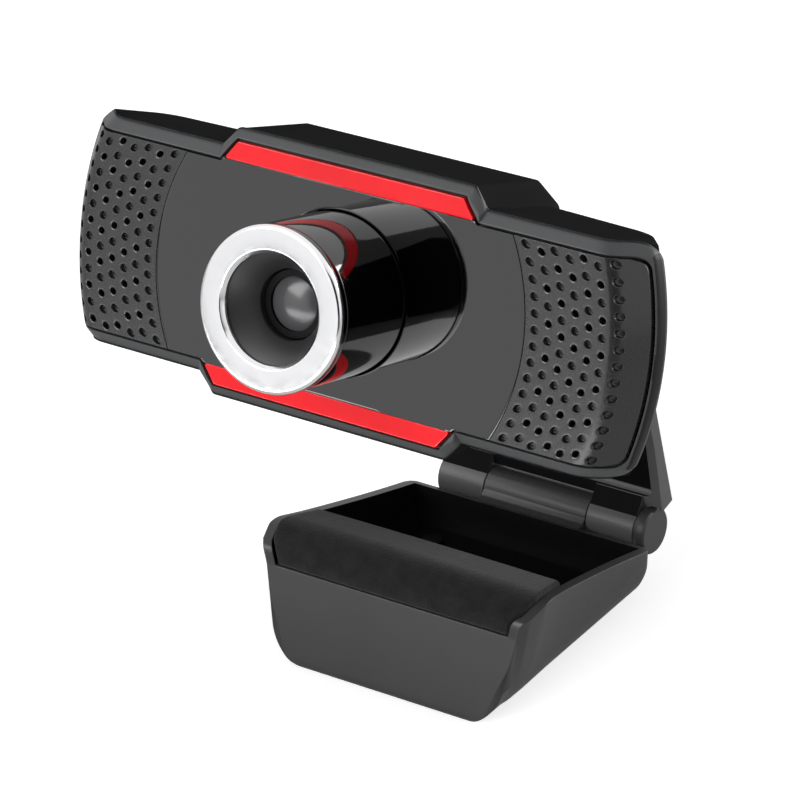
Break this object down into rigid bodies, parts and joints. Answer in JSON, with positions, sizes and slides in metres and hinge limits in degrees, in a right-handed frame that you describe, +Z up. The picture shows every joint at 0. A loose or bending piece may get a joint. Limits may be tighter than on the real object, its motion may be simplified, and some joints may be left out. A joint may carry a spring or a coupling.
{
  "type": "webcam",
  "caption": "Clip-on webcam: round protruding lens, wide curved head with perforated end grilles, tilting on an arm with a folding clip foot that also stands on a desk.",
  "frame": {"origin": "centre of the foot's flat underside, on the surface that the webcam stands on", "axes": "+Z up, -Y the way the camera looks, +X to the right of someone facing the lens"},
  "size_m": [0.0998, 0.0725, 0.0891],
  "materials": {
    "bezel_grey": "fine satin, mid grey",
    "panel_black": "mirror gloss black acrylic",
    "inlay_red": "glossy translucent red",
    "grille_grey": "fine matt grey",
    "housing_black": "matt black",
    "barrel_black": "gloss black",
    "ring_silver": "bright satin, turned",
    "hood_black": "dull black",
    "cell_black": "satin black",
    "lens_glass": "polished, coated",
    "filter_glass": "polished, coated",
    "board_green": "solder mask",
    "chip_black": "moulded",
    "header_white": "moulded",
    "holder_black": "moulded",
    "steel": "zinc plated",
    "rubber_black": "matt",
    "mic_metal": "drawn can",
    "stand_black": "satin black-grey",
    "foam_black": "fine open foam",
    "inner_black": "satin"
  },
  "bodies": {
    "foot": {"foot_shell": "stand_black", "foot_liner": "inner_black", "foam_pad": "foam_black", "foot_screws": "steel", "friction_clip": "steel"},
    "arm": {"arm_shell": "stand_black", "arm_cover": "inner_black", "shelf_pad": "rubber_black", "hinge_pin": "steel", "hinge_cap": "stand_black", "tilt_bolt": "steel", "tilt_nut": "steel", "tilt_washers": "steel"},
    "head": {"front_bezel": "bezel_grey", "face_panel": "panel_black", "inlay_top": "inlay_red", "inlay_bottom": "inlay_red", "grille_right": "grille_grey", "grille_left": "grille_grey", "rear_housing": "housing_black", "housing_screws": "steel", "lens_tube": "barrel_black", "lens_holder": "holder_black", "filter_frame": "holder_black", "infrared_filter": "filter_glass", "image_sensor": "chip_black", "circuit_board": "board_green", "board_chips": "chip_black", "board_screws": "steel", "cable_header": "header_white", "cable_grommet": "rubber_black", "microphone": "mic_metal", "microphone_boot": "rubber_black"},
    "focus_ring": {"chrome_ring": "ring_silver", "lens_hood": "hood_black"},
    "lens_cell": {"lens_cell": "cell_black", "front_lens": "lens_glass", "inner_lenses": "lens_glass", "lens_spacer": "cell_black"}
  },
  "joints": [
    {"name": "clip_hinge", "type": "hinge", "parent": "foot", "child": "arm", "pos_m": [0, 0.0256, 0.0095], "axis": [1, 0, 0], "range_deg": [-101, 40]},
    {"name": "head_tilt", "type": "hinge", "parent": "arm", "child": "head", "pos_m": [0, 0.00101, 0.06004], "axis": [1, 0, 0], "range_deg": [-25, 30]},
    {"name": "focus_turn", "type": "hinge", "parent": "head", "child": "focus_ring", "pos_m": [0, -0.02401, 0.07074], "axis": [0, -0.9516, 0.3074], "range_deg": [-150, 150]},
    {"name": "lens_travel", "type": "slide", "parent": "focus_ring", "child": "lens_cell", "axis": [0, -0.9516, 0.3074], "range_m": [-0.0002084, 0.0002084]}
  ],
  "couplings": [
    {"joint": "lens_travel", "follows": "focus_turn", "m_per_rad": 0.000079577}
  ]
}
